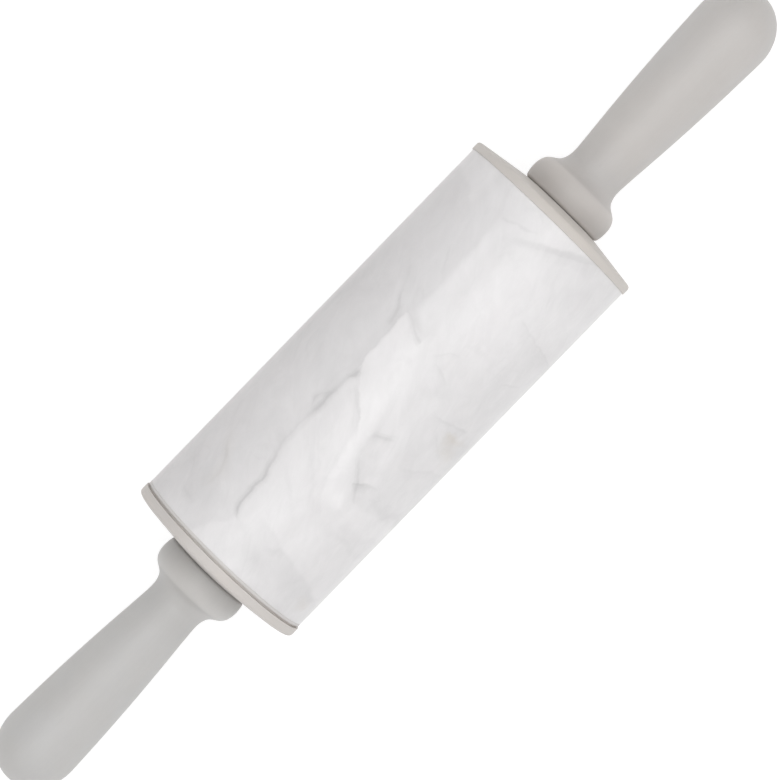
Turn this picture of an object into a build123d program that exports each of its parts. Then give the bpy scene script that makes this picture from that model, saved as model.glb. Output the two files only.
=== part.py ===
from build123d import *
import os

os.makedirs("parts", exist_ok=True)

# Marble rolling pin. Millimetres, +X along the pin's axis, +Z up, origin on the
# axis midway between the two handle tips. The roller (stone barrel, gaskets, end
# caps, bushes) turns on the axle; the axle and both handles are one held body.

# ---------------------------------------------------------------- dimensions
# stone barrel
barrel_r = 40.0            # outer radius of the stone
barrel_left = -87.65       # left end face
barrel_right = 90.2        # right end face
barrel_edge = 0.15         # eased outer edge
barrel_bore_r = 7.0        # through bore, drilled clear of the axle
socket_r = 12.2            # counterbore that takes a cap's spigot
socket_depth = 20.0

# gasket between stone and cap
gasket_t = 1.2
left_gasket_r = 40.0       # shows beside the groove, flush with the stone
right_gasket_r = 38.0      # hidden behind the right cap's rim
gasket_hole_r = 12.3
gasket_edge = 0.12         # softened outer edges

# end cap
cap_r = 40.5               # rim stands half a millimetre proud of the stone
rim_edge = 93.8            # outer end of either rim, from the middle
right_rim_w = rim_edge - barrel_right  # the right rim closes on the stone
left_rim_w = 4.05
recess_r = right_gasket_r  # pocket behind the right rim, a snug fit for the gasket
cap_corner = 1.2           # rounded outer corner of the rim
cap_lip = 0.12             # broken inner corner of the rim
crown_x = 96.85            # the face rises as a low cone to a flat round the hub
crown_r = 20.0
hub_seat = 93.45           # floor of the hub pocket, which the bush flange sits on
hub_pocket_r = 12.7
hub_edge = 0.4             # broken edge of the pocket
spigot_r = 12.0
spigot_end = 72.6          # inner end of the spigot, from the middle
hub_bore_r = 7.5           # bore that holds the bush
pry_gap = 0.9              # shadow groove behind the left cap's rim
pry_r = 38.9               # floor of that groove

# O-ring on the spigot
ring_x = 78.0
ring_groove_w = 2.6
ring_groove_r = 10.3
ring_section = (socket_r - ring_groove_r) / 2

# flanged plain bush
axle_r = 5.0
bush_bore_r = axle_r + 0.05
bush_flange_r = 12.0
bush_flange_t = 1.5
bush_end = 76.8

# thrust washer
end_play = 0.2
washer_r = 10.0
washer_hole_r = 5.15
washer_t = 1.0
washer_in = hub_seat + bush_flange_t + end_play
washer_out = washer_in + washer_t

# threaded insert in the handle
insert_flange_r = 9.0
insert_flange_t = 1.0
insert_r = 6.0
insert_relief_r = 5.5
insert_len = 23.0
thread_r = 4.0
handle_face = washer_out + insert_flange_t
insert_end = washer_out + insert_len

# axle
axle_shoulder = washer_out
axle_end = 114.5
thread_relief_r = 3.3
thread_relief_w = 1.6

# handle: collar, neck, flared grip, domed end
collar_corner = [(handle_face, 17.03), (handle_face + 0.378, 18.12)]
pocket_end = 121.0
grip_max_x = 191.4
grip_max_r = 16.3
tip_x = 209.9
# outline spans, each a run of (x, radius) points with its end slopes
handle_spans = [
    ([(98.5, 18.74), (101.9, 19.20), (105.2, 18.90)], 0.24, -0.25),
    ([(105.2, 18.90), (107.35, 18.03), (108.8, 16.72), (109.75, 15.25)], -0.25, -1.5),
    ([(109.75, 15.25), (110.7, 13.93), (112.2, 12.75), (114.4, 11.98), (117.6, 11.72)], -1.5, 0.0),
    ([(117.6, 11.72), (121.5, 11.94), (126.6, 12.37)], 0.0, 0.0905),
    ([(126.6, 12.37), (139.0, 13.46), (151.3, 14.38)], 0.0905, 0.0685),
    ([(151.3, 14.38), (166.8, 15.32), (179.1, 15.89)], 0.0685, 0.0400),
    ([(179.1, 15.89), (185.8, 16.14), (grip_max_x, grip_max_r)], 0.0400, 0.0),
]

# ---------------------------------------------------------------- the roller
with BuildPart() as marble_barrel:
    with BuildSketch(Plane.YZ.offset(barrel_left)):
        Circle(barrel_r)
    extrude(amount=barrel_right - barrel_left)
    left_face = marble_barrel.faces().sort_by(Axis.X)[0]
    right_face = marble_barrel.faces().sort_by(Axis.X)[-1]
    half = (barrel_right - barrel_left) / 2
    with Locations(left_face, right_face):
        CounterBoreHole(barrel_bore_r, socket_r, socket_depth, half + 1)
    rims = marble_barrel.edges().filter_by(GeomType.CIRCLE).sort_by(SortBy.RADIUS)[-2:]
    fillet(rims, barrel_edge)
    mouths = [
        e
        for e in marble_barrel.edges().filter_by(GeomType.CIRCLE)
        if abs(e.radius - socket_r) < 0.01
        and min(abs(e.center().X - barrel_left), abs(e.center().X - barrel_right)) < 0.01
    ]
    chamfer(mouths, 0.4)
marble_barrel.part.label = "marble_barrel"
export_step(marble_barrel.part, "parts/marble_barrel.step")

# Right gasket: a flat ring that lies in the pocket behind the cap's rim.
with BuildPart() as right_seat_gasket:
    with BuildSketch(Plane.YZ.offset(barrel_right)):
        Circle(right_gasket_r)
        Circle(gasket_hole_r, mode=Mode.SUBTRACT)
    extrude(amount=gasket_t)
    fillet(right_seat_gasket.edges().filter_by(GeomType.CIRCLE).sort_by(SortBy.RADIUS)[-2:], gasket_edge)
right_seat_gasket.part.label = "right_seat_gasket"
export_step(right_seat_gasket.part, "parts/right_seat_gasket.step")

# Left gasket: the same ring, out to the stone's own radius.
with BuildPart() as left_seat_gasket:
    with BuildSketch(Plane.YZ.offset(barrel_left - gasket_t)):
        Circle(left_gasket_r)
        Circle(gasket_hole_r, mode=Mode.SUBTRACT)
    extrude(amount=gasket_t)
    fillet(left_seat_gasket.edges().filter_by(GeomType.CIRCLE).sort_by(SortBy.RADIUS)[-2:], gasket_edge)
left_seat_gasket.part.label = "left_seat_gasket"
export_step(left_seat_gasket.part, "parts/left_seat_gasket.step")

# Right end cap: rim disc with a low coned face outside and the gasket's pocket
# inside, and a hub spigot that plugs into the stone's counterbore and carries
# the bush, whose flange and washer lie in the pocket round the hub.
with BuildPart() as right_end_cap:
    with BuildSketch(Plane.XY):
        with BuildLine():
            Polyline(
                (spigot_end, hub_bore_r),
                (hub_seat, hub_bore_r),
                (hub_seat, hub_pocket_r),
                (crown_x - hub_edge, hub_pocket_r),
                (crown_x, hub_pocket_r + hub_edge),
                (crown_x, crown_r),
                (rim_edge, cap_r),
                (rim_edge - right_rim_w, cap_r),
                (rim_edge - right_rim_w, recess_r),
                (barrel_right + gasket_t, recess_r),
                (barrel_right + gasket_t, spigot_r),
                (ring_x + ring_groove_w / 2, spigot_r),
                (ring_x + ring_groove_w / 2, ring_groove_r),
                (ring_x - ring_groove_w / 2, ring_groove_r),
                (ring_x - ring_groove_w / 2, spigot_r),
                (spigot_end, spigot_r),
                close=True,
            )
        make_face()
    revolve(axis=Axis.X)
    rim_out = [e for e in right_end_cap.edges().filter_by(GeomType.CIRCLE) if abs(e.radius - cap_r) < 0.01 and abs(e.center().X - rim_edge) < 0.01]
    fillet(rim_out, cap_corner)
    rim_in = [e for e in right_end_cap.edges().filter_by(GeomType.CIRCLE) if abs(e.radius - cap_r) < 0.01 and abs(e.center().X - (rim_edge - right_rim_w)) < 0.01]
    fillet(rim_in, cap_lip)
    nose = [e for e in right_end_cap.edges().filter_by(GeomType.CIRCLE) if abs(e.radius - spigot_r) < 0.01 and abs(e.center().X - spigot_end) < 0.01]
    chamfer(nose, 0.8)
right_end_cap.part.label = "right_end_cap"
export_step(right_end_cap.part, "parts/right_end_cap.step")

# Left end cap: the same disc and spigot, but with a smaller shoulder behind
# the rim, which leaves a narrow shadow groove before the gasket.
with BuildPart() as left_end_cap:
    with BuildSketch(Plane.XY):
        with BuildLine():
            Polyline(
                (-spigot_end, hub_bore_r),
                (-hub_seat, hub_bore_r),
                (-hub_seat, hub_pocket_r),
                (-crown_x + hub_edge, hub_pocket_r),
                (-crown_x, hub_pocket_r + hub_edge),
                (-crown_x, crown_r),
                (-rim_edge, cap_r),
                (-rim_edge + left_rim_w, cap_r),
                (-rim_edge + left_rim_w, pry_r),
                (-rim_edge + left_rim_w + pry_gap, pry_r),
                (-rim_edge + left_rim_w + pry_gap, spigot_r),
                (-ring_x - ring_groove_w / 2, spigot_r),
                (-ring_x - ring_groove_w / 2, ring_groove_r),
                (-ring_x + ring_groove_w / 2, ring_groove_r),
                (-ring_x + ring_groove_w / 2, spigot_r),
                (-spigot_end, spigot_r),
                close=True,
            )
        make_face()
    revolve(axis=Axis.X)
    rim_out = [e for e in left_end_cap.edges().filter_by(GeomType.CIRCLE) if abs(e.radius - cap_r) < 0.01 and abs(e.center().X + rim_edge) < 0.01]
    fillet(rim_out, cap_corner)
    rim_in = [e for e in left_end_cap.edges().filter_by(GeomType.CIRCLE) if abs(e.radius - cap_r) < 0.01 and abs(e.center().X + (rim_edge - left_rim_w)) < 0.01]
    fillet(rim_in, cap_lip)
    nose = [e for e in left_end_cap.edges().filter_by(GeomType.CIRCLE) if abs(e.radius - spigot_r) < 0.01 and abs(e.center().X + spigot_end) < 0.01]
    chamfer(nose, 0.8)
left_end_cap.part.label = "left_end_cap"
export_step(left_end_cap.part, "parts/left_end_cap.step")

# O-rings: seal and centre the spigots in the stone.
with BuildPart() as right_spigot_o_ring:
    with BuildSketch(Plane.XY):
        with Locations((ring_x, ring_groove_r + ring_section)):
            Circle(ring_section)
    revolve(axis=Axis.X)
right_spigot_o_ring.part.label = "right_spigot_o_ring"
export_step(right_spigot_o_ring.part, "parts/right_spigot_o_ring.step")

with BuildPart() as left_spigot_o_ring:
    mirror(right_spigot_o_ring.part, about=Plane.YZ)
left_spigot_o_ring.part.label = "left_spigot_o_ring"
export_step(left_spigot_o_ring.part, "parts/left_spigot_o_ring.step")

# Flanged plain bushes, pressed into the cap hubs from outside.
with BuildPart() as right_flanged_bush:
    with BuildSketch(Plane.XY):
        with BuildLine():
            Polyline(
                (bush_end, bush_bore_r),
                (hub_seat + bush_flange_t, bush_bore_r),
                (hub_seat + bush_flange_t, bush_flange_r),
                (hub_seat, bush_flange_r),
                (hub_seat, hub_bore_r),
                (bush_end, hub_bore_r),
                close=True,
            )
        make_face()
    revolve(axis=Axis.X)
    flange_edge = right_flanged_bush.edges().filter_by(GeomType.CIRCLE).filter_by(lambda e: abs(e.radius - bush_flange_r) < 0.01 and e.center().X > hub_seat + 1)
    fillet(flange_edge, 0.4)
    bush_ends = right_flanged_bush.edges().filter_by(GeomType.CIRCLE).filter_by(lambda e: abs(e.center().X - bush_end) < 0.01)
    chamfer(bush_ends, 0.4)
right_flanged_bush.part.label = "right_flanged_bush"
export_step(right_flanged_bush.part, "parts/right_flanged_bush.step")

with BuildPart() as left_flanged_bush:
    mirror(right_flanged_bush.part, about=Plane.YZ)
left_flanged_bush.part.label = "left_flanged_bush"
export_step(left_flanged_bush.part, "parts/left_flanged_bush.step")

# ------------------------------------------------------- the axle and handles
# Axle: ground running length, thread relief and threaded ends.
with BuildPart() as axle_rod:
    with BuildSketch(Plane.YZ.offset(-axle_shoulder)):
        Circle(axle_r)
    extrude(amount=2 * axle_shoulder)
    with BuildSketch(Plane.YZ.offset(axle_shoulder)):
        Circle(thread_relief_r)
    extrude(amount=thread_relief_w)
    with BuildSketch(Plane.YZ.offset(axle_shoulder + thread_relief_w)):
        Circle(thread_r)
    extrude(amount=axle_end - axle_shoulder - thread_relief_w)
    with BuildSketch(Plane.YZ.offset(-axle_shoulder)):
        Circle(thread_relief_r)
    extrude(amount=-thread_relief_w)
    with BuildSketch(Plane.YZ.offset(-axle_shoulder - thread_relief_w)):
        Circle(thread_r)
    extrude(amount=-(axle_end - axle_shoulder - thread_relief_w))
    shoulders = axle_rod.edges().filter_by(GeomType.CIRCLE).filter_by(lambda e: abs(e.radius - axle_r) < 0.01)
    chamfer(shoulders, 0.3)
    thread_ends = axle_rod.edges().filter_by(GeomType.CIRCLE).filter_by(lambda e: abs(abs(e.center().X) - axle_end) < 0.01)
    chamfer(thread_ends, 1.0)
axle_rod.part.label = "axle_rod"
export_step(axle_rod.part, "parts/axle_rod.step")

# Thrust washers: run between bush flange and handle.
with BuildPart() as right_thrust_washer:
    with BuildSketch(Plane.YZ.offset(washer_in)):
        Circle(washer_r)
        Circle(washer_hole_r, mode=Mode.SUBTRACT)
    extrude(amount=washer_t)
    chamfer(right_thrust_washer.edges().filter_by(GeomType.CIRCLE).sort_by(SortBy.RADIUS)[-2:], 0.15)
right_thrust_washer.part.label = "right_thrust_washer"
export_step(right_thrust_washer.part, "parts/right_thrust_washer.step")

with BuildPart() as left_thrust_washer:
    mirror(right_thrust_washer.part, about=Plane.YZ)
left_thrust_washer.part.label = "left_thrust_washer"
export_step(left_thrust_washer.part, "parts/left_thrust_washer.step")

# Threaded inserts: flange against the axle shoulder, ribbed barrel in the handle.
with BuildPart() as right_threaded_insert:
    with BuildSketch(Plane.XY):
        with BuildLine():
            Polyline(
                (washer_out, thread_r),
                (insert_end, thread_r),
                (insert_end, insert_relief_r),
                (insert_end - 1.2, insert_r),
                (insert_end - 4.6, insert_r),
                (insert_end - 5.1, insert_relief_r),
                (insert_end - 6.1, insert_relief_r),
                (insert_end - 6.6, insert_r),
                (insert_end - 10.0, insert_r),
                (insert_end - 10.5, insert_relief_r),
                (insert_end - 11.5, insert_relief_r),
                (insert_end - 12.0, insert_r),
                (insert_end - 15.4, insert_r),
                (insert_end - 15.9, insert_relief_r),
                (insert_end - 16.9, insert_relief_r),
                (insert_end - 17.4, insert_r),
                (handle_face, insert_r),
                (handle_face, insert_flange_r),
                (washer_out, insert_flange_r),
                close=True,
            )
        make_face()
    revolve(axis=Axis.X)
right_threaded_insert.part.label = "right_threaded_insert"
export_step(right_threaded_insert.part, "parts/right_threaded_insert.step")

with BuildPart() as left_threaded_insert:
    mirror(right_threaded_insert.part, about=Plane.YZ)
left_threaded_insert.part.label = "left_threaded_insert"
export_step(left_threaded_insert.part, "parts/left_threaded_insert.step")

# Handle: turned in one piece, with a blind pocket for the insert.
with BuildPart() as right_handle:
    with BuildSketch(Plane.XY):
        with BuildLine():
            Polyline(
                (tip_x, 0),
                (pocket_end + insert_r * 0.6, 0),
                (pocket_end, insert_r),
                (handle_face, insert_r),
                (handle_face, collar_corner[0][1]),
            )
            ThreePointArc(*collar_corner, handle_spans[0][0][0])
            for points, slope_in, slope_out in handle_spans:
                Spline(*points, tangents=[(1, slope_in), (1, slope_out)])
            EllipticalCenterArc(
                (grip_max_x, 0),
                tip_x - grip_max_x,
                grip_max_r,
                start_angle=0,
                arc_size=90,
            )
        make_face()
    revolve(axis=Axis.X)
right_handle.part.label = "right_handle"
export_step(right_handle.part, "parts/right_handle.step")

with BuildPart() as left_handle:
    mirror(right_handle.part, about=Plane.YZ)
left_handle.part.label = "left_handle"
export_step(left_handle.part, "parts/left_handle.step")
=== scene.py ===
import math

import bpy
from mathutils import Matrix, Vector

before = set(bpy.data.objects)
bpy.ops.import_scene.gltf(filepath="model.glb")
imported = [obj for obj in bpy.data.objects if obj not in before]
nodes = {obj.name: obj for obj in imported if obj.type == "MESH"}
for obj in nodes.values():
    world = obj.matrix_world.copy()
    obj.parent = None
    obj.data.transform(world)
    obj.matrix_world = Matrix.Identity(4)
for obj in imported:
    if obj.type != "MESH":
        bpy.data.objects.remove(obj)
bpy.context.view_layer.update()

MM = 0.001
BARREL_R = 40.0            # mm, outer radius of the stone
FLOOR_Z = -0.0405          # the caps' rims stand on the floor


# ---------------------------------------------------------------- node helper
class Finish:
    """A principled material whose node tree is written as expressions."""

    def __init__(self, name):
        self.material = bpy.data.materials.new(name)
        self.material.use_nodes = True
        self.tree = self.material.node_tree
        self.tree.nodes.clear()
        self.count = 0
        out = self.tree.nodes.new("ShaderNodeOutputMaterial")
        self.shader = self.tree.nodes.new("ShaderNodeBsdfPrincipled")
        self.tree.links.new(self.shader.outputs["BSDF"], out.inputs["Surface"])
        out.location, self.shader.location = (600, 0), (300, 0)
        self.coords = self.new("ShaderNodeTexCoord").outputs["Object"]

    def new(self, kind, **settings):
        node = self.tree.nodes.new(kind)
        for key, value in settings.items():
            setattr(node, key, value)
        node.location = (-260 * (self.count // 12), -180 * (self.count % 12))
        self.count += 1
        return node

    def feed(self, socket, value):
        if isinstance(value, bpy.types.NodeSocket):
            self.tree.links.new(value, socket)
        else:
            socket.default_value = value

    def math(self, operation, *values, clamp=False):
        node = self.new("ShaderNodeMath", operation=operation, use_clamp=clamp)
        for socket, value in zip(node.inputs, values):
            self.feed(socket, value)
        return node.outputs[0]

    def add(self, a, b):
        return self.math("ADD", a, b)

    def mul(self, a, b):
        return self.math("MULTIPLY", a, b)

    def total(self, values):
        values = list(values)
        while len(values) > 1:
            values = [
                self.add(*values[i : i + 2]) if len(values[i : i + 2]) == 2 else values[i]
                for i in range(0, len(values), 2)
            ]
        return values[0]

    def vector(self, operation, *values):
        node = self.new("ShaderNodeVectorMath", operation=operation)
        for socket, value in zip(node.inputs, values):
            self.feed(socket, value)
        return node.outputs["Value" if operation in ("LENGTH", "DISTANCE", "DOT_PRODUCT") else "Vector"]

    def scaled(self, v, k):
        node = self.new("ShaderNodeVectorMath", operation="SCALE")
        self.feed(node.inputs[0], v)
        node.inputs["Scale"].default_value = k
        return node.outputs["Vector"]

    def split(self, v):
        node = self.new("ShaderNodeSeparateXYZ")
        self.feed(node.inputs[0], v)
        return node.outputs[0], node.outputs[1], node.outputs[2]

    def join(self, x, y, z):
        node = self.new("ShaderNodeCombineXYZ")
        for socket, value in zip(node.inputs, (x, y, z)):
            self.feed(socket, value)
        return node.outputs[0]

    def ranged(self, value, a, b, c=0.0, d=1.0, smooth=False, clamp=True):
        node = self.new("ShaderNodeMapRange", clamp=clamp)
        node.interpolation_type = "SMOOTHSTEP" if smooth else "LINEAR"
        for name, v in (("Value", value), ("From Min", a), ("From Max", b), ("To Min", c), ("To Max", d)):
            self.feed(node.inputs[name], v)
        return node.outputs["Result"]

    def noise(self, v, scale, detail=3.0, rough=0.5, distort=0.0, lacunarity=2.0, colour=False):
        node = self.new("ShaderNodeTexNoise", noise_dimensions="3D")
        self.feed(node.inputs["Vector"], v)
        for name, x in (("Scale", scale), ("Detail", detail), ("Roughness", rough), ("Distortion", distort), ("Lacunarity", lacunarity)):
            node.inputs[name].default_value = x
        return node.outputs["Color" if colour else "Fac"]

    def cells(self, v, scale, feature="F1", randomness=1.0):
        node = self.new("ShaderNodeTexVoronoi", feature=feature)
        self.feed(node.inputs["Vector"], v)
        node.inputs["Scale"].default_value = scale
        node.inputs["Randomness"].default_value = randomness
        return node.outputs["Distance"]

    def curve(self, value, points):
        """A smooth curve through points, all inside 0 to 1."""
        node = self.new("ShaderNodeFloatCurve")
        line = node.mapping.curves[0]
        points = [(min(max(x, 0.0), 1.0), min(max(y, 0.0), 1.0)) for x, y in points]
        line.points[0].location, line.points[1].location = points[0], points[-1]
        for x, y in points[1:-1]:
            line.points.new(x, y)
        for p in line.points:
            p.handle_type = "AUTO_CLAMPED"
        node.mapping.extend = "HORIZONTAL"
        node.mapping.update()
        self.feed(node.inputs["Value"], value)
        return node.outputs[0]

    def mix(self, factor, a, b, blend="MIX"):
        node = self.new("ShaderNodeMix", data_type="RGBA", blend_type=blend)
        self.feed(node.inputs[0], factor)
        self.feed(node.inputs[6], a)
        self.feed(node.inputs[7], b)
        return node.outputs[2]

    def bump(self, height, distance, strength=1.0, normal=None):
        node = self.new("ShaderNodeBump")
        self.feed(node.inputs["Height"], height)
        node.inputs["Distance"].default_value = distance
        node.inputs["Strength"].default_value = strength
        if normal is not None:
            self.feed(node.inputs["Normal"], normal)
        return node.outputs[0]

    def set(self, **values):
        for name, value in values.items():
            self.feed(self.shader.inputs[name.replace("_", " ")], value)
        return self.material


def srgb(*levels):
    """Linear colour from display levels of 0 to 255."""
    values = [((c / 255 + 0.055) / 1.055) ** 2.4 if c > 10 else c / 255 / 12.92 for c in levels]
    return (*values, 1.0)


# ------------------------------------------------------------- the white stone
class Stone(Finish):
    """Marble: listed veins and patches on the barrel's (x, arc) surface, over clouds and fine veins in depth.
    x is in mm along the barrel, an angle is in degrees round it from the top, and a level is a step of display tone."""

    ARC = math.radians(1) * BARREL_R          # mm of surface per degree

    def __init__(self, name):
        super().__init__(name)
        x, y, z = self.split(self.scaled(self.coords, 1000.0))
        angle = self.mul(self.math("ARCTAN2", y, z), 0.9834)
        # the bed of the stone leans a little to the left with height, more so towards its right end
        lean = self.math("MULTIPLY_ADD", z, -0.000436, self.math("MULTIPLY_ADD", x, 0.0000267, 0.99813))
        x = self.math("MULTIPLY_ADD", z, -0.03055, self.mul(x, lean))
        self.mm = self.join(self.add(x, 0.034), y, z)
        x = self.add(x, -0.366)                   # the pattern's own zero
        self.angle = self.mul(angle, 180 / math.pi)
        arc = self.mul(angle, BARREL_R)
        flat = self.join(x, arc, 0.0)
        # two strengths of wander, so that no line or patch is ruled
        small = self.scaled(self.vector("SUBTRACT", self.noise(self.mm, 0.22, 5.0, 0.62, colour=True), (0.5, 0.5, 0.5)), 2.6)
        large = self.scaled(self.vector("SUBTRACT", self.noise(self.mm, 0.07, 4.0, 0.6, colour=True), (0.5, 0.5, 0.5)), 13.0)
        line = self.vector("ADD", flat, small)
        self.line_x, self.line_s, _ = self.split(line)
        self.cloud_x, self.cloud_s, _ = self.split(self.vector("ADD", line, large))
        self.cloud_at = self.join(self.cloud_x, self.cloud_s, 0.0)
        self.x, self.s = x, arc
        self.sums = {}

    def lay(self, kind, tone):
        """Add a tone to the dark, light or rust sum at once, so that few values wait in the shader's memory."""
        self.sums[kind] = self.add(self.sums[kind], tone) if kind in self.sums else tone

    def path(self, points, along, loose=False):
        """(0 to 1 along the path, signed distance across it in mm, slope factor)."""
        px, ps = (self.cloud_x, self.cloud_s) if loose else (self.line_x, self.line_s)
        run, rise = (px, ps) if along == "x" else (ps, px)
        flat = [(p[0], p[1] * self.ARC) if along == "x" else (p[1] * self.ARC, p[0]) for p in points]
        flat = sorted(zip(flat, [p[2] if len(p) > 2 else 1.0 for p in points]), key=lambda q: q[0][0])
        a, b = flat[0][0][0], flat[-1][0][0]
        low, high = min(q[0][1] for q in flat) - 0.5, max(q[0][1] for q in flat) + 0.5
        t = self.ranged(run, a, b)
        line = self.curve(t, [((q[0][0] - a) / (b - a), (q[0][1] - low) / (high - low)) for q in flat])
        line = self.math("MULTIPLY_ADD", line, high - low, low)
        across = self.math("SUBTRACT", rise, line)
        slope = sum(abs(q[0][1] - p[0][1]) for p, q in zip(flat, flat[1:])) / (b - a)
        return t, self.mul(across, 1 / math.hypot(1, slope)), [((q[0][0] - a) / (b - a), q[1]) for q in flat], (run, a, b)

    def vein(self, points, width, level, along="x", halo=(0.0, 0.0), halo_level=0.3, kind="dark", loose=False):
        """A vein through points of (x, angle, strength). width is its half-width in mm. halo is how far its tint
        spreads on the lower and the upper side."""
        t, across, strengths, (run, a, b) = self.path(points, along, loose)
        reach = max(width, *halo)
        core = [(-width, 0.0), (-width * 0.45, 0.55), (0.0, 1.0), (width * 0.45, 0.55), (width, 0.0)]
        if halo[0] > width:
            core[0] = (-width, halo_level)
            core.insert(0, (-halo[0], 0.0))
        if halo[1] > width:
            core[-1] = (width, halo_level)
            core.append((halo[1], 0.0))
        edge = reach * 1.02
        if core[0][0] > -edge:
            core.insert(0, (-edge, 0.0))
        if core[-1][0] < edge:
            core.append((edge, 0.0))
        shape = self.curve(self.ranged(across, -edge, edge), [((p + edge) / (2 * edge), q) for p, q in core])
        along_it = self.curve(t, strengths)
        ends = 1.0
        if strengths[0][1] > 0.05 or strengths[-1][1] > 0.05:  # a path cut short keeps its strength to the end
            inside = self.mul(self.ranged(run, a - 1.0, a), self.ranged(run, b, b + 1.0, 1.0, 0.0))
            along_it = self.mul(along_it, inside)
        self.lay(kind, self.mul(self.mul(shape, along_it), level))

    def region(self, lower, upper, level, along="x", soft=(1.5, 1.5), kind="dark", ends=(4.0, 4.0), loose=False):
        """Tone between two paths of (x, angle)."""
        _, under, _, (run, a, b) = self.path(lower, along, loose)
        _, over, _, _ = self.path(upper, along, loose)
        inside = self.mul(
            self.ranged(under, -soft[0], soft[0], smooth=True), self.ranged(over, -soft[1], soft[1], 1.0, 0.0, smooth=True)
        )
        if ends:
            inside = self.mul(inside, self.ranged(run, a, a + ends[0], smooth=True))
            inside = self.mul(inside, self.ranged(run, b - ends[1], b, 1.0, 0.0, smooth=True))
        self.lay(kind, self.mul(inside, level))

    def beyond(self, points, level, soft=1.0, along="x", kind="dark", loose=False, fade=None):
        """Tone on the high side of a path."""
        _, across, _, _ = self.path(points, along, loose)
        tone = self.ranged(across, -soft, soft, smooth=True)
        if fade is not None:
            tone = self.mul(tone, fade)
        self.lay(kind, self.mul(tone, level))

    def patch(self, x, angle, wide, tall, level, turn=0.0, kind="dark", core=0.0):
        """A soft oval, half-widths in mm, turned by degrees."""
        node = self.new("ShaderNodeMapping", vector_type="TEXTURE")
        self.feed(node.inputs["Vector"], self.cloud_at)
        node.inputs["Location"].default_value = (x, angle * self.ARC, 0)
        node.inputs["Rotation"].default_value = (0, 0, math.radians(turn))
        node.inputs["Scale"].default_value = (wide, tall, 1)
        distance = self.vector("LENGTH", node.outputs[0])
        self.lay(kind, self.mul(self.ranged(distance, core, 1.0, 1.0, 0.0, smooth=True), level))


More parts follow.
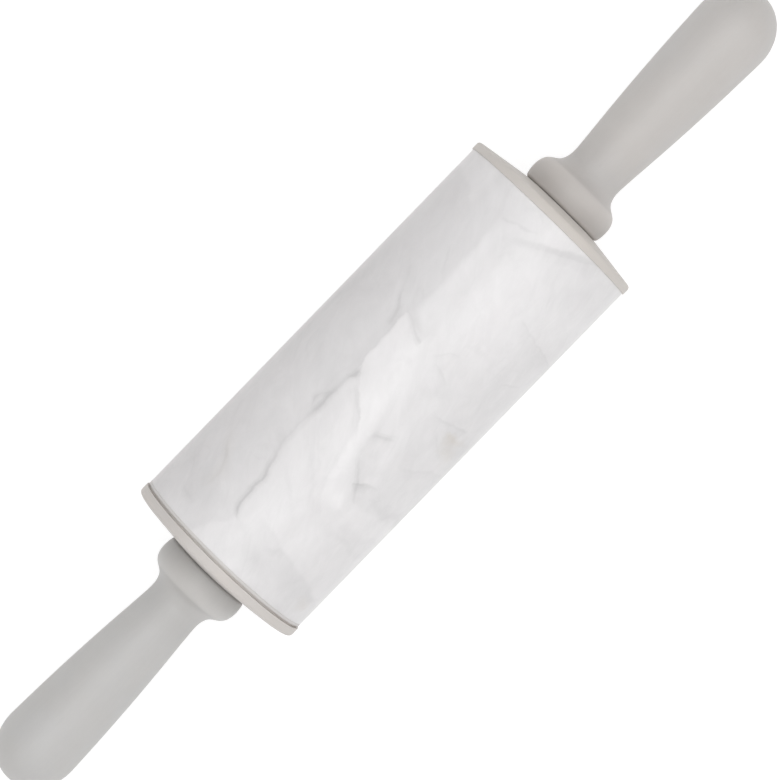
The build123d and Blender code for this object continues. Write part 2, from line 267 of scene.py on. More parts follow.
def make_marble():
    m = Stone("marble_white")
    # The front of the stone. Grey ground above the long vein, with its sharp lower edge.
    edge = [(-88, 22), (-84, 20), (-78, 15), (-72, 10), (-68, 12.4), (-62, 13.6), (-55, 13.8), (-49.5, 16), (-43, 18.4),
            (-37, 16.9), (-24, 16.9), (-9, 18.0), (-3, 16.6), (0, 17), (3, 18.2), (11, 19.2), (22, 20), (27, 18.6), (35, 17.6),
            (50, 17.6), (65, 18.6), (75, 20.5), (82, 25), (88, 33)]
    back_fade = m.ranged(m.angle, 118.0, 158.0, 1.0, 0.0, smooth=True)
    m.beyond(edge, 4.5, soft=1.0, fade=back_fade)
    far = m.ranged(m.angle, 32.0, 72.0)
    m.lay("dark", m.mul(m.mul(far, back_fade), 12.0))
    near = m.mul(m.ranged(m.angle, 5.0, 16.0, smooth=True), m.ranged(m.angle, 38.0, 62.0, 1.0, 0.0, smooth=True))
    m.lay("light", m.mul(near, 2.5))
    m.vein([(-6, 18.4, 0.0), (0, 18.6, 0.8), (4, 20.0, 1.0), (12, 20.8, 1.0), (22, 21.2, 1.0), (26, 20.6, 0.4), (29, 20.4, 0.0)],
           1.2, 5.0, halo=(0, 5.0), halo_level=0.55)
    m.vein([(-44, 19, 0.0), (-38, 20.4, 0.8), (-30, 20.6, 0.8), (-24, 20.4, 1.0), (-16, 20.2, 1.0), (-8, 19.8, 0.6), (-4, 19, 0.0)],
           1.2, 4.0, halo=(0, 4.5), halo_level=0.6)
    # darker upper field, cut off near the right end
    m.region([(71, 36), (72.5, 41), (76, 48), (78, 57), (79, 66), (81, 80), (78, 100), (72, 130)],
             [(120, 36), (120, 130)], -6.0, along="s", soft=(1.6, 1.6), kind="dark", ends=(5.0, 14.0))
    # the long dark vein, its branch and its end
    m.vein([(-72.6, 7.5, 0.0), (-71.2, 10, 0.6), (-68, 12.2, 0.95), (-62, 13.4, 1.0), (-55, 13.6, 0.95), (-49.5, 15.6, 0.8),
            (-44, 18, 0.45), (-38, 19.6, 0.2), (-31, 20, 0.18), (-25, 19.2, 0.5), (-20, 18.6, 0.85), (-14, 19, 0.65),
            (-9, 18.6, 0.35), (-6, 18, 0.55), (-3.6, 16.4, 0.95), (-1.4, 16.2, 0.4), (0.8, 17.6, 0.0)],
           1.35, 24.0, halo=(3.0, 2.4), halo_level=0.26)
    m.vein([(-25, 20.0, 0.0), (-22.5, 22.4, 0.55), (-20, 24, 1.0), (-17.5, 22.6, 0.6), (-15.5, 20.6, 0.5), (-13.8, 19.4, 0.0)],
           1.0, 11.5, halo=(1.8, 2.2), halo_level=0.3)
    m.vein([(17.6, 23.0, 0.0), (20.5, 23.6, 0.8), (24, 25, 1.0), (27.5, 28.6, 1.0), (30.5, 31.5, 0.6), (35, 35, 0.28),
            (39, 39, 0.22), (42, 45, 0.1), (45, 51, 0.0)], 1.4, 13.0, halo=(2.8, 2.4), halo_level=0.22)
    m.vein([(43.5, 20, 0.0), (46, 22, 0.7), (49, 24.8, 0.9), (52, 27, 0.7), (54.5, 29, 0.0)], 1.1, 5.0)
    # bright patch under the vein, its right edge with the dark nick
    m.region([(-48, -33), (-40, -25.5), (-33, -19), (-25, -13.5), (-17, -9.8), (-10, -7.5), (-3, -5.5), (3, -3.5), (10, -0.6),
              (16, 1.6), (21.3, 3.2), (24.6, 14), (26, 20)],
             [(-48, -19), (-40, -12.5), (-33, -9.3), (-25, -6.6), (-17, -3.8), (-10, 4.4), (-5.4, 11), (-1.2, 16.3), (3, 19.2),
              (11, 20), (22, 20.6), (26, 20.8)], 6.5, soft=(2.2, 0.8), kind="light", ends=(7.0, 0.6))
    m.vein([(26, 19.5, 0.0), (25.2, 16.5, 0.5), (23.6, 12, 0.7), (22.2, 8, 0.9), (21.4, 5.2, 1.0), (20.8, 2.6, 0.0)],
           1.3, 16.0, along="s", halo=(1.8, 5.0), halo_level=0.3)
    m.region([(-30, -29), (-47.5, -30), (-46, -45), (-46.5, -60), (-44, -76), (-41, -96)],
             [(-39.5, -30), (-38, -45), (-37, -60), (-37, -76), (-35, -96)], 4.5, along="s", soft=(2.2, 1.4), kind="light", ends=(8.0, 5.0))
    # slanting veins between the two
    m.vein([(-6, 14, 0.0), (-8, 10, 0.6), (-10.2, 6, 1.0), (-12.6, 2, 1.0), (-15.6, -2, 0.85), (-18.6, -5.5, 0.5), (-21.5, -8, 0.0)],
           1.5, 7.5, along="s", halo=(3.8, 0), halo_level=0.3)
    m.vein([(-27, 14.5, 0.0), (-31, 10, 0.5), (-35, 5, 0.7), (-38.5, 0, 0.9), (-41.5, -4.5, 1.0), (-45, -9, 0.7), (-49, -14, 0.45),
            (-52.5, -19, 0.0)], 2.0, 4.0, halo=(0, 5.0), halo_level=0.3)
    m.vein([(-45, 11, 0.0), (-49, 3, 0.7), (-51.5, -2, 1.0), (-54.5, -7, 0.8), (-57, -12, 0.45), (-58.6, -18, 0.0)],
           1.9, 4.0, along="s", halo=(4.0, 0), halo_level=0.3)
    m.vein([(-23, 15.5, 0.0), (-27, 11, 0.6), (-31.5, 5.5, 0.8), (-35.5, 0, 0.3), (-37.5, -3, 0.0)], 1.0, 3.0)
    # the dark hook and the streaks beside it
    m.vein([(-39, -32, 0.0), (-36.6, -29.6, 0.8), (-34, -26.8, 1.0), (-31.5, -24.5, 1.0), (-29, -21.5, 0.8), (-26.5, -18, 0.6),
            (-24, -15.6, 0.42), (-19, -13.2, 0.2), (-12, -12.4, 0.0)], 1.6, 13.0, halo=(5.5, 1.8), halo_level=0.32)
    m.vein([(-33.4, -23, 0.0), (-32, -26.5, 1.0), (-30.6, -30, 0.85), (-29.6, -34, 0.5), (-29, -38, 0.0)], 1.0, 12.0, along="s",
           halo=(2.6, 0), halo_level=0.3)
    m.patch(-32.6, -26.6, 4.2, 3.0, 9.0, turn=40)
    m.patch(-31.4, -29.6, 2.4, 3.0, 5.0, turn=10)
    m.vein([(-16, -11, 0.0), (-14.6, -15, 0.9), (-13.4, -18.5, 1.0), (-12.2, -21.5, 0.7), (-11, -25, 0.0)], 1.7, 14.0, along="s",
           halo=(3.4, 2.2), halo_level=0.25)
    m.patch(-19.6, -20, 3.2, 2.6, 3.0, turn=-40)
    m.patch(-24.5, -24, 5.0, 4.0, 3.0, turn=20)
    # left end: a grey tongue with a sharp right edge
    m.region([(-96, 6), (-96, -100)],
             [(-65, 6), (-66, -10), (-68.5, -20), (-70.5, -32), (-72, -45), (-74, -57), (-77, -72), (-80, -100)],
             5.0, along="s", soft=(1.6, 1.1), ends=(16.0, 12.0))
    m.patch(-85.5, -16, 4.0, 12.0, 4.5, turn=4, kind="light")
    m.patch(-82, -1, 9.0, 6.0, 3.5)
    m.patch(-72.5, 3, 3.0, 6.0, 3.5)
    m.region([(-8, -66), (-14, -66), (-22, -67.5), (-34, -70), (-46, -71.5), (-60, -74)],
             [(-8, -50), (-22, -48), (-40, -48), (-60, -50)], 5.5, along="s", soft=(1.4, 4.5), kind="light", ends=(5.0, 8.0))
    m.patch(-77.5, -13, 5.5, 9.0, 5.5, turn=-12)
    m.patch(-71.0, -21, 3.4, 7.0, 4.0, turn=18)
    m.patch(-76.0, -30, 5.0, 6.0, 2.0, turn=-20)
    m.patch(-80.5, -60, 4.0, 9.0, 4.0, turn=8, kind="rust")
    m.patch(-76.8, -65, 3.0, 10.0, 6.0, turn=6)
    m.patch(-45.5, -66, 3.4, 10.0, 4.5)
    # lower field
    low_fade = m.mul(m.ranged(m.angle, -44.0, -24.0, 1.0, 0.0, smooth=True), m.ranged(m.angle, -160.0, -120.0, smooth=True))
    m.lay("dark", m.mul(low_fade, 5.0))
    m.vein([(-32.5, -34, 0.0), (-33.6, -45, 0.6), (-33.6, -58, 1.0), (-33, -70, 1.0), (-31.6, -84, 0.6), (-29, -100, 0.0)],
           4.2, 7.0, along="s", loose=True)
    m.vein([(-17.8, -36, 0.0), (-15.6, -46, 0.8), (-13, -53, 0.9), (-11, -60, 0.9), (-10, -70, 0.7), (-8, -88, 0.0)],
           1.8, 5.0, along="s", halo=(6.0, 0), halo_level=0.5)
    m.vein([(-52, -20, 0.0), (-53, -34, 0.7), (-52, -48, 0.8), (-53.5, -62, 0.8), (-52, -80, 0.5), (-50, -100, 0.0)],
           3.2, 3.5, along="s", loose=True)
    # rusty blotch with its dark branches
    m.patch(-0.5, -58, 6.5, 14.0, 5.5, turn=-24, kind="rust")
    m.patch(4.6, -52, 3.6, 10.0, 5.5, turn=14, kind="rust")
    m.patch(3.5, -58, 10.0, 15.0, 5.0, turn=6)
    m.patch(5.5, -71, 13.0, 11.0, 7.5, turn=10)
    m.patch(-8, -74, 34, 9, 3.0)
    m.vein([(5.2, -30, 0.0), (6.4, -38, 0.8), (7.6, -44, 0.8), (8.8, -52, 1.0), (9.8, -58, 0.0)], 1.3, 7.0, along="s",
           halo=(3.0, 0), halo_level=0.25)
    m.vein([(1.0, -38, 0.0), (-1.5, -46, 0.7), (-4, -52, 0.6), (-6, -62, 0.0)], 1.2, 5.0, along="s")
    m.vein([(4.2, -44, 0.0), (3.8, -50, 1.0), (4.6, -58, 0.8), (5.4, -68, 0.4), (7, -80, 0.0)], 2.0, 4.0, along="s", kind="rust")
    m.patch(12, -20, 6.0, 7.0, 5.0, turn=30)
    m.vein([(19.4, -9, 0.0), (18.8, -14, 0.9), (17.8, -18, 0.9), (16.2, -24, 0.0)], 1.3, 6.0, along="s", halo=(3.2, 0), halo_level=0.3)
    m.vein([(19, -6, 0.0), (23, -8.5, 0.8), (26, -12, 0.9), (28, -17, 0.0)], 1.2, 5.0, halo=(2.8, 0), halo_level=0.3)
    m.vein([(31, -48, 0.0), (33, -55, 0.9), (34.5, -60, 0.7), (36, -66, 0.0)], 1.1, 5.0, along="s")
    # pale band above a faint grey one, to the right of the nick
    m.region([(25, 9.5), (35, 10.5), (50, 11), (62, 11.5), (72, 10), (80, 6)],
             [(25, 15), (35, 17), (50, 17.5), (62, 17.5), (72, 17), (80, 14)], 3.4, soft=(1.6, 1.8), kind="light", ends=(4.0, 8.0))
    m.region([(22, 1), (35, 2.5), (48, 3.5), (58, 4), (70, 2), (78, -3)],
             [(22, 6.0), (35, 6.6), (48, 7.4), (58, 7.8), (70, 7.0), (78, 3)], 2.4, soft=(2.2, 1.3), ends=(4.0, 6.0))
    m.patch(50, -21, 32, 24, 6.0, kind="light", core=0.2)
    m.patch(62, -54, 16, 20, 8.0, kind="light")
    m.patch(-60, -35, 17, 26, 5.5, kind="light")
    m.patch(-84, -39, 7, 10, 4.5, kind="light")
    m.patch(-43.5, -20, 6, 12, 4.0, kind="light")
    m.patch(81, 28, 8, 11, 4.0, kind="light")
    m.patch(85.5, 8, 3.0, 13.0, 4.0)
    # right end: the band that runs out under the cap, and its squiggle
    m.vein([(70.5, 6, 0.0), (74, 0, 0.55), (76.2, -5, 0.8), (78.6, -11, 0.9), (81, -18, 1.0), (83.6, -25, 1.0), (85.6, -30, 1.0),
            (88.5, -37, 1.0)], 3.0, 12.5, halo=(7.5, 0), halo_level=0.3)
    m.vein([(75, 20, 0.0), (75.8, 15, 0.8), (77, 11, 0.6), (77.4, 7, 0.9), (79, 2, 0.5), (80, -2, 0.0)], 1.2, 7.0, along="s")
    m.vein([(53.6, -26, 0.0), (52.8, -31, 0.65), (51.8, -36, 0.75), (51.2, -42, 0.85), (50.8, -50, 0.9), (50.4, -58, 1.0),
            (49.8, -66, 0.95), (49, -76, 0.8), (47, -90, 0.6), (43, -108, 0.3), (39, -122, 0.0)],
           1.4, 5.5, along="s", halo=(7.5, 0), halo_level=0.6)
    m.region([(-28, 53.6), (-33, 52.4), (-42, 51.6), (-52, 51.2), (-62, 50.6), (-76, 49.4)],
             [(-28, 62), (-40, 66), (-60, 66), (-76, 64)], 6.0, along="s", soft=(0.8, 7.0), kind="light", ends=(5.0, 10.0))
    m.patch(82, -35, 7.0, 6.0, 4.5, turn=-35)
    m.patch(30, -28, 12.0, 12.0, 2.0, turn=0, kind="light")
    # upper left: slanting smoky streaks
    m.patch(-69, 40, 17, 9, 5.5, turn=24)
    m.patch(-75, 27, 13, 8, 7.5, turn=30)
    m.patch(-60, 30, 12, 6, 2.0, turn=20)
    m.patch(15, 68, 36, 10, 6.5, turn=-3)
    m.vein([(-74, 37, 0.0), (-68, 34.5, 0.8), (-64, 34.5, 1.0), (-60.5, 37, 1.0), (-57.5, 41, 1.0), (-54.5, 45, 0.7), (-51, 50, 0.3),
            (-47, 57, 0.0)], 2.6, 3.0, kind="rust", halo=(6.0, 3.5), halo_level=0.4)
    m.vein([(-71, 35, 0.0), (-67.5, 34, 0.8), (-64, 34.6, 1.0), (-60.5, 37.4, 1.0), (-57.5, 41.6, 0.8), (-54, 46.5, 0.0)],
           1.5, 4.5, halo=(3.0, 0), halo_level=0.3)
    m.vein([(-80, 31, 0.0), (-78.9, 37, 1.0), (-78, 41, 0.9), (-76.8, 48, 0.0)], 2.2, 7.0, along="s", halo=(3.0, 5.0), halo_level=0.35, loose=True)
    m.vein([(-74.5, 43, 0.0), (-72, 49, 0.8), (-70.5, 53, 0.8), (-69.5, 58, 0.5), (-68.8, 66, 0.0)], 2.2, 6.5, along="s",
           halo=(3.0, 5.0), halo_level=0.35, loose=True)
    m.patch(-71, 56, 6.0, 8.0, 3.0, turn=30)
    m.patch(-85.5, 42, 3.5, 12.0, 4.0, turn=0, kind="light")
    # the side that faces away: long sweeping veins and a few short ones
    m.vein([(-87, 96, 0.7), (-70, 92, 0.9), (-52, 101, 0.8), (-38, 99, 0.5), (-20, 108, 0.9), (-2, 116, 1.0), (14, 113, 0.5),
            (30, 121, 0.8), (52, 127, 0.6), (74, 122, 0.3), (88, 126, 0.2)], 1.4, 13.0, halo=(3.5, 2.0), halo_level=0.2)
    m.vein([(-30, 101, 0.0), (-22, 117, 0.8), (-15, 129, 0.9), (-6, 140, 0.6), (2, 156, 0.0)], 1.5, 8.0, halo=(4.0, 0))
    m.vein([(-87, -150, 0.6), (-66, -142, 0.9), (-47, -147, 0.9), (-30, -136, 0.6), (-12, -131, 0.9), (5, -120, 0.8),
            (19, -112, 0.4), (31, -98, 0.0)], 1.5, 12.0, halo=(3.0, 3.0), halo_level=0.22)
    m.vein([(8, -121, 0.0), (22, -128, 0.8), (38, -126, 1.0), (55, -137, 0.8), (71, -141, 0.5), (88, -151, 0.3)],
           1.2, 9.0, halo=(0, 4.0), halo_level=0.3)
    m.vein([(20, 140, 0.0), (34, 151, 0.8), (49, 158, 0.9), (60, 170, 0.0)], 1.3, 8.0, halo=(3.0, 0))
    m.vein([(-78, 118, 0.0), (-64, 131, 0.8), (-58, 147, 0.9), (-44, 160, 0.4), (-36, 168, 0.0)], 1.4, 7.0, halo=(0, 4.0))
    m.patch(-45, 134, 16, 9, -4.0, turn=35)
    m.patch(40, 92, 18, 7, 5.0, turn=-20)
    m.patch(20, -156, 20, 8, 6.0, turn=30)
    m.patch(-70, -112, 12, 14, 5.0, turn=10)

    # clouds and fine veins through the whole block, slanting across it
    slant = m.new("ShaderNodeMapping", vector_type="TEXTURE")
    m.feed(slant.inputs["Vector"], m.mm)
    slant.inputs["Rotation"].default_value = (0.5, 0.25, 0.55)
    slant.inputs["Scale"].default_value = (2.6, 1.0, 1.3)
    across = slant.outputs[0]
    cloud = m.noise(across, 0.055, 6.0, 0.58, 0.9)
    cloud = m.ranged(cloud, 0.32, 0.68, -3.2, 3.2)
    wisps = m.ranged(m.noise(across, 0.16, 5.0, 0.66, 1.6), 0.36, 0.64, -1.9, 1.9)
    side = m.ranged(m.math("ABSOLUTE", m.angle), 62.0, 96.0, 0.35, 1.0, smooth=True)
    broad = m.ranged(m.math("ABSOLUTE", m.math("SUBTRACT", m.noise(across, 0.045, 3.0, 0.5, 1.3), 0.5)), 0.0, 0.03, 1.0, 0.0, smooth=True)
    gate = m.ranged(m.noise(m.mm, 0.05, 2.0, 0.5), 0.5, 0.66)
    broad = m.mul(m.mul(broad, gate), m.mul(side, 8.0))
    hair = m.ranged(m.math("ABSOLUTE", m.math("SUBTRACT", m.noise(m.mm, 0.11, 5.0, 0.6, 2.2), 0.5)), 0.0, 0.016, 1.0, 0.0, smooth=True)
    hair_gate = m.ranged(m.noise(m.mm, 0.09, 2.0, 0.5, 0.0), 0.52, 0.7)
    hair = m.mul(m.mul(hair, hair_gate), m.mul(side, 5.0))
    grain = m.ranged(m.noise(m.mm, 1.9, 3.0, 0.6), 0.3, 0.7, -0.8, 0.8)

    dark, light, rust = (m.sums[kind] for kind in ("dark", "light", "rust"))
    ground = m.total([dark, rust, cloud, wisps, broad, hair, grain, 7.0])
    level = m.math("SUBTRACT", ground, light)
    tone = m.math("MAXIMUM", m.math("MULTIPLY_ADD", level, -1 / 245, 1.0), 0.3)
    tone = m.math("POWER", tone, 2.25)
    base = m.new("ShaderNodeVectorMath", operation="SCALE")
    base.inputs[0].default_value = srgb(242.6, 240.6, 241.2)[:3]
    m.feed(base.inputs["Scale"], tone)
    warm = m.ranged(rust, 0.0, 14.0, 0.0, 1.0)
    cool = m.ranged(m.noise(m.mm, 0.06, 3.0, 0.5), 0.35, 0.65)
    tinted = m.mix(m.mul(warm, 0.55), base.outputs[0], (1.0, 0.93, 0.82, 1.0), "MULTIPLY")
    tinted = m.mix(m.mul(cool, 0.35), tinted, (0.99, 1.0, 1.0, 1.0), "MULTIPLY")
    tinted = m.mix(m.mul(far, 0.8), tinted, (1.0, 0.986, 0.984, 1.0), "MULTIPLY")
    polish = m.ranged(m.noise(m.mm, 0.5, 4.0, 0.6), 0.3, 0.7, 0.30, 0.40)
    polish = m.add(polish, m.ranged(dark, 12.0, 34.0, 0.0, 0.08))
    crystals = m.noise(m.mm, 2.6, 3.0, 0.55)
    relief = m.add(m.mul(crystals, 0.5), m.mul(m.noise(m.mm, 0.35, 3.0, 0.55), 0.5))
    return m.set(
        Base_Color=tinted, Roughness=polish, Normal=m.bump(relief, 0.00002, 0.35), IOR=1.49,
    )


# ------------------------------------------------- painted handles and the caps
def make_handle_paint(name, ground, seed, shade, cap_bounce_warmth):
    """Satin paint on turned wood: faint mottling, a trace of grain along the handle, tiny pits. shade is painted shade
    and highlight:
    the tone at points of x (mm) along the collar and neck, darker near the cap where the collar lies in shadow, lighter
    on the collar's outer slope. The last argument is a painted warm cast on the collar near the cap, for light bounced
    from the beige cap."""
    m = Finish(name)
    mm = m.vector("ADD", m.scaled(m.coords, 1000.0), (seed, seed * 1.7, seed * 0.6))
    x, y, z = m.split(m.scaled(m.coords, 1000.0))
    out = m.math("ABSOLUTE", x)
    along = m.new("ShaderNodeMapping", vector_type="TEXTURE")
    m.feed(along.inputs["Vector"], mm)
    along.inputs["Scale"].default_value = (16.0, 1.0, 1.0)
    grain = m.noise(along.outputs[0], 0.9, 4.0, 0.62, 0.4)
    blotch = m.noise(mm, 0.05, 4.0, 0.55, 0.6)
    speck = m.noise(mm, 2.2, 3.0, 0.6)
    pits = m.ranged(m.cells(mm, 0.42), 0.0, 0.10, 1.0, 0.0)
    level = m.total([
        m.ranged(blotch, 0.3, 0.7, -0.016, 0.016),
        m.ranged(grain, 0.3, 0.7, -0.010, 0.010),
        m.ranged(speck, 0.3, 0.7, -0.007, 0.007),
        m.mul(pits, -0.05),
        1.0,
    ])
    # painted shade and highlight along the collar and neck, from the shade points
    low, high = shade[0][0], shade[-1][0]
    collar_light_and_shade = m.curve(m.ranged(out, low, high), [((p - low) / (high - low), (q - 0.7) / 0.45) for p, q in shade])
    level = m.mul(level, m.math("MULTIPLY_ADD", collar_light_and_shade, 0.45, 0.7))
    base = m.new("ShaderNodeVectorMath", operation="SCALE")
    base.inputs[0].default_value = srgb(*ground)[:3]
    m.feed(base.inputs["Scale"], level)
    hue = m.ranged(m.noise(mm, 0.035, 3.0, 0.5), 0.36, 0.64)
    colour = m.mix(m.mul(hue, 0.6), base.outputs[0], (1.0, 0.985, 0.965, 1.0), "MULTIPLY")
    # painted warm light on the collar next to the cap, standing for light bounced from the beige cap
    collar = m.ranged(out, 106.0, 118.0, 1.0, 0.0, smooth=True)
    colour = m.mix(m.mul(collar, cap_bounce_warmth), colour, (1.0, 0.972, 0.948, 1.0), "MULTIPLY")
    # the grip is rubbed a little smoother than the neck, more so towards its end
    rubbed = m.ranged(out, 150.0, 200.0, 0.0, -0.05, smooth=True)
    rough = m.total([m.ranged(blotch, 0.3, 0.7, 0.46, 0.56), m.ranged(speck, 0.3, 0.7, -0.03, 0.03), rubbed])
    orange = m.noise(mm, 0.55, 2.0, 0.5)
    height = m.total([m.mul(orange, 0.6), m.mul(grain, 0.25), m.mul(speck, 0.15), m.mul(pits, -0.6)])
    return m.set(Base_Color=colour, Roughness=rough, Normal=m.bump(height, 0.00006, 0.5), IOR=1.45)


def make_cap_plastic(name, ground, seed, painted_face_shade=0.0):
    """Matt moulded plastic with a fine spark texture. The last argument darkens the outer face round the handle, a
    little mottled: painted shade.
    """
    m = Finish(name)
    mm = m.vector("ADD", m.scaled(m.coords, 1000.0), (seed, 0.0, seed))
    blotch = m.noise(mm, 0.06, 4.0, 0.55, 0.4)
    spark = m.noise(mm, 3.2, 3.0, 0.62)
    fine = m.cells(mm, 1.6)
    x, y, z = m.split(m.scaled(m.coords, 1000.0))
    # painted shade on the outer face beyond the rim, beside the handle's collar
    face = m.mul(m.ranged(m.math("ABSOLUTE", x), 93.8, 95.6, smooth=True), m.ranged(m.noise(mm, 0.15, 3.0, 0.6), 0.3, 0.6, 0.75, 1.0))
    level = m.total([m.ranged(blotch, 0.3, 0.7, -0.018, 0.018), m.ranged(spark, 0.3, 0.7, -0.012, 0.012), m.mul(face, -painted_face_shade), 1.0])
    base = m.new("ShaderNodeVectorMath", operation="SCALE")
    base.inputs[0].default_value = srgb(*ground)[:3]
    m.feed(base.inputs["Scale"], level)
    hue = m.ranged(m.noise(mm, 0.045, 3.0, 0.5), 0.36, 0.64)
    colour = m.mix(m.mul(hue, 0.6), base.outputs[0], (1.0, 0.985, 0.965, 1.0), "MULTIPLY")
    rough = m.add(m.ranged(blotch, 0.3, 0.7, 0.54, 0.62), m.ranged(spark, 0.3, 0.7, -0.04, 0.04))
    height = m.add(m.mul(spark, 0.6), m.mul(fine, 0.4))
    return m.set(Base_Color=colour, Roughness=rough, Normal=m.bump(height, 0.00004, 0.5), IOR=1.46)


def make_rubber(name, ground, rough_at, grain=2.0):
    m = Finish(name)
    mm = m.scaled(m.coords, 1000.0)
    blotch = m.noise(mm, 0.12, 4.0, 0.6)
    fine = m.noise(mm, grain, 3.0, 0.6)
    level = m.total([m.ranged(blotch, 0.3, 0.7, -0.03, 0.03), m.ranged(fine, 0.3, 0.7, -0.015, 0.015), 1.0])
    base = m.new("ShaderNodeVectorMath", operation="SCALE")
    base.inputs[0].default_value = srgb(*ground)[:3]
    m.feed(base.inputs["Scale"], level)
    rough = m.ranged(fine, 0.3, 0.7, rough_at - 0.05, rough_at + 0.05)
    return m.set(Base_Color=base.outputs[0], Roughness=rough, Normal=m.bump(fine, 0.00003, 0.4), IOR=1.41)


def make_metal(name, ground, rough_at, turned=6.0, knurl=False):
    """Turned metal: fine rings round the x axis, a little stain."""
    m = Finish(name)
    mm = m.scaled(m.coords, 1000.0)
    x, y, z = m.split(mm)
    rings_at = m.join(m.mul(x, turned), m.mul(y, 0.05), m.mul(z, 0.05))
    rings = m.noise(rings_at, 1.0, 3.0, 0.7)
    stain = m.noise(mm, 0.18, 4.0, 0.6, 0.5)
    level = m.total([m.ranged(rings, 0.3, 0.7, -0.05, 0.05), m.ranged(stain, 0.35, 0.7, 0.03, -0.08), 1.0])
    base = m.new("ShaderNodeVectorMath", operation="SCALE")
    base.inputs[0].default_value = srgb(*ground)[:3]
    m.feed(base.inputs["Scale"], level)
    rough = m.add(m.ranged(rings, 0.3, 0.7, rough_at - 0.07, rough_at + 0.07), m.ranged(stain, 0.4, 0.7, 0.0, 0.1))
    height = rings
    if knurl:
        turn = m.mul(m.math("ARCTAN2", y, z), 24.0)
        a = m.math("SINE", m.add(turn, m.mul(x, 4.2)))
        b = m.math("SINE", m.math("SUBTRACT", turn, m.mul(x, 4.2)))
        height = m.add(m.mul(rings, 0.2), m.math("MAXIMUM", a, b))
    return m.set(
        Base_Color=base.outputs[0], Roughness=rough, Metallic=1.0, Normal=m.bump(height, 0.00004 if not knurl else 0.0002, 0.6)
    )


# ------------------------------------------------------------------ assignment
marble = make_marble()
# Painted shade and highlight for each handle: tone factors at x (mm), darker near the cap where shadow falls, lighter
# on the collar's outer slope
LEFT_SHADE = [(96.4, 0.92), (98.3, 0.87), (99.6, 0.89), (102.0, 0.93), (104.4, 0.99), (106.6, 1.045), (107.9, 1.07), (108.7, 1.03),
              (109.4, 0.98), (110.8, 0.985), (114.0, 0.97), (120.0, 0.97), (130.0, 1.0)]
RIGHT_SHADE = [(96.4, 1.0), (97.9, 0.94), (99.4, 0.875), (101.5, 0.885), (103.2, 0.92), (106.0, 0.985), (107.3, 1.02), (108.4, 1.04),
               (109.2, 0.955), (110.4, 0.95), (112.4, 0.92), (117.0, 0.93), (124.0, 0.97), (134.0, 1.0)]
# the last figure of each handle paint is the strength of the painted warm bounce light on its collar
paint_left = make_handle_paint("handle_paint_left", (200, 199, 198), 0.0, LEFT_SHADE, 0.25)
paint_right = make_handle_paint("handle_paint_right", (204, 201, 199), 61.0, RIGHT_SHADE, 0.75)
# the last figure of each cap is its painted shade on the outer face round the handle: deep on the left, faint on the
# right
cap_left = make_cap_plastic("cap_plastic_left", (213, 208, 204), 0.0, 0.28)
cap_right = make_cap_plastic("cap_plastic_right", (212, 207, 202), 37.0, 0.04)
# the left gasket's silicone is set lighter than the right's, a painted lift against the shade of the groove beside it;
# the right gasket takes its cap's colour
gasket_left = make_rubber("gasket_silicone_left", (213, 210, 208), 0.62, 1.4)
gasket_right = make_rubber("gasket_silicone_right", (203, 198, 193), 0.62, 1.4)
o_ring = make_rubber("o_ring_rubber", (38, 37, 36), 0.5, 2.4)
nylon = make_rubber("bush_nylon", (226, 223, 214), 0.42, 1.1)
axle_steel = make_metal("axle_steel", (176, 177, 178), 0.26, 5.0)
washer_steel = make_metal("washer_steel", (184, 185, 187), 0.32, 7.0)
brass = make_metal("insert_brass", (206, 172, 104), 0.3, 5.0, knurl=True)

FINISHES = {
    "marble_barrel": marble,
    "left_end_cap": cap_left,
    "right_end_cap": cap_right,
    "left_seat_gasket": gasket_left,
    "right_seat_gasket": gasket_right,
    "left_spigot_o_ring": o_ring,
    "right_spigot_o_ring": o_ring,
    "left_flanged_bush": nylon,
    "right_flanged_bush": nylon,
    "axle_rod": axle_steel,
    "left_thrust_washer": washer_steel,
    "right_thrust_washer": washer_steel,
    "left_threaded_insert": brass,
    "right_threaded_insert": brass,
    "left_handle": paint_left,
    "right_handle": paint_right,
}
for name, finish in FINISHES.items():
    mesh = nodes[name].data
    for i in range(max(1, len(mesh.materials))):
        if i < len(mesh.materials):
            mesh.materials[i] = finish
        else:
            mesh.materials.append(finish)


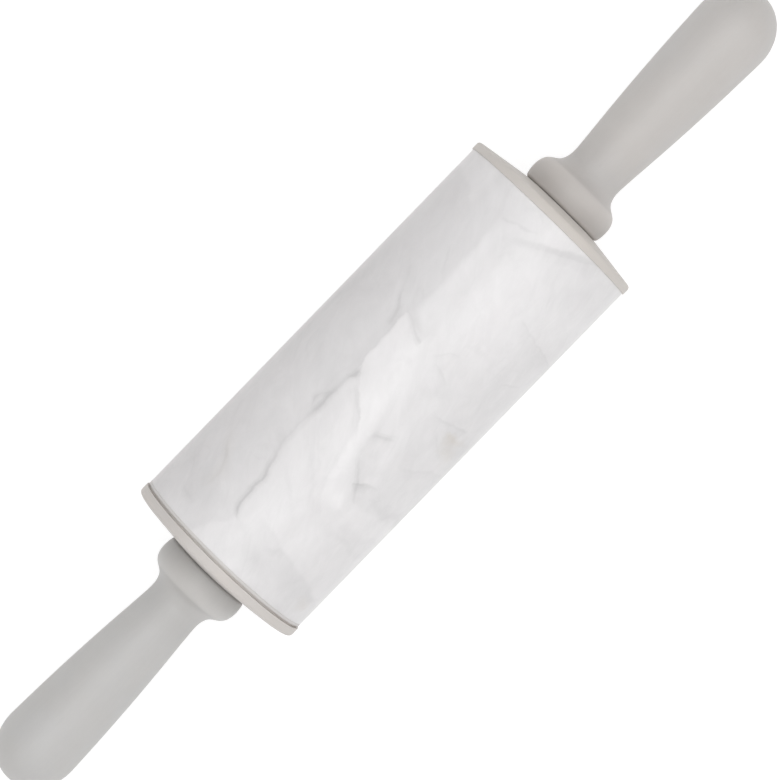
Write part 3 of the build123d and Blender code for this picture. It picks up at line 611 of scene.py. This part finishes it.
# --------------------------------------------------------------- stage and light
def make_floor():
    side = 3.0
    mesh = bpy.data.meshes.new("floor")
    mesh.from_pydata(
        [(-side, -side, FLOOR_Z), (side, -side, FLOOR_Z), (side, side, FLOOR_Z), (-side, side, FLOOR_Z)], [], [(0, 1, 2, 3)]
    )
    floor = bpy.data.objects.new("floor", mesh)
    bpy.context.scene.collection.objects.link(floor)
    material = bpy.data.materials.new("floor_white")
    material.use_nodes = True
    shader = material.node_tree.nodes["Principled BSDF"]
    shader.inputs["Base Color"].default_value = (0.4, 0.4, 0.4, 1)
    shader.inputs["Roughness"].default_value = 0.9
    shader.inputs["Specular IOR Level"].default_value = 0.1
    shader.inputs["Emission Color"].default_value = (1, 1, 1, 1)
    shader.inputs["Emission Strength"].default_value = 0.74
    mesh.materials.append(material)


def area_light(name, at, to, size, power, colour=(1, 1, 1)):
    data = bpy.data.lights.new(name, "AREA")
    data.shape, data.size, data.energy, data.color = "SQUARE", size, power, colour
    light = bpy.data.objects.new(name, data)
    light.location = at
    light.rotation_mode = "QUATERNION"
    light.rotation_quaternion = (Vector(to) - Vector(at)).to_track_quat("-Z", "Y")
    light.visible_camera = False
    bpy.context.scene.collection.objects.link(light)
    return light


make_floor()
world = bpy.data.worlds.new("studio")
world.use_nodes = True
background = world.node_tree.nodes["Background"]
background.inputs["Color"].default_value = (1.0, 0.998, 0.995, 1)
background.inputs["Strength"].default_value = 0.30
bpy.context.scene.world = world
# large soft panels 1.6 m away: heading and height in degrees, watts
PANELS = {
    "panel_top": (-90, 88, 12.3),
    "panel_front_low": (-90, 25, 2.5),
    "panel_front_high": (-90, 55, 0.7),
    "panel_back": (90, 40, 0.7),
    "panel_right": (0, 40, 3.2),
    "panel_left": (180, 40, 3.5),
}
for name, (heading, height, power) in PANELS.items():
    a, e = math.radians(heading), math.radians(height)
    at = (1.6 * math.cos(e) * math.cos(a), 1.6 * math.cos(e) * math.sin(a), 1.6 * math.sin(e) - 0.04)
    area_light(name, at, (0, 0, 0), 1.3, power)

bpy.context.scene.view_settings.view_transform = "Standard"
bpy.context.scene.view_settings.look = "None"

lens = bpy.data.cameras.new("camera")
lens.lens, lens.sensor_width = 155.42, 36.0
camera = bpy.data.objects.new("camera", lens)
camera.location = (0.0426, -0.0017, 1.300)
lean_back = math.atan2(camera.location.x - 0.0013, camera.location.z)
camera.rotation_euler = (Matrix.Rotation(lean_back, 3, "Y") @ Matrix.Rotation(math.radians(-45.8), 3, "Z")).to_euler()
bpy.context.scene.collection.objects.link(camera)
bpy.context.scene.camera = camera
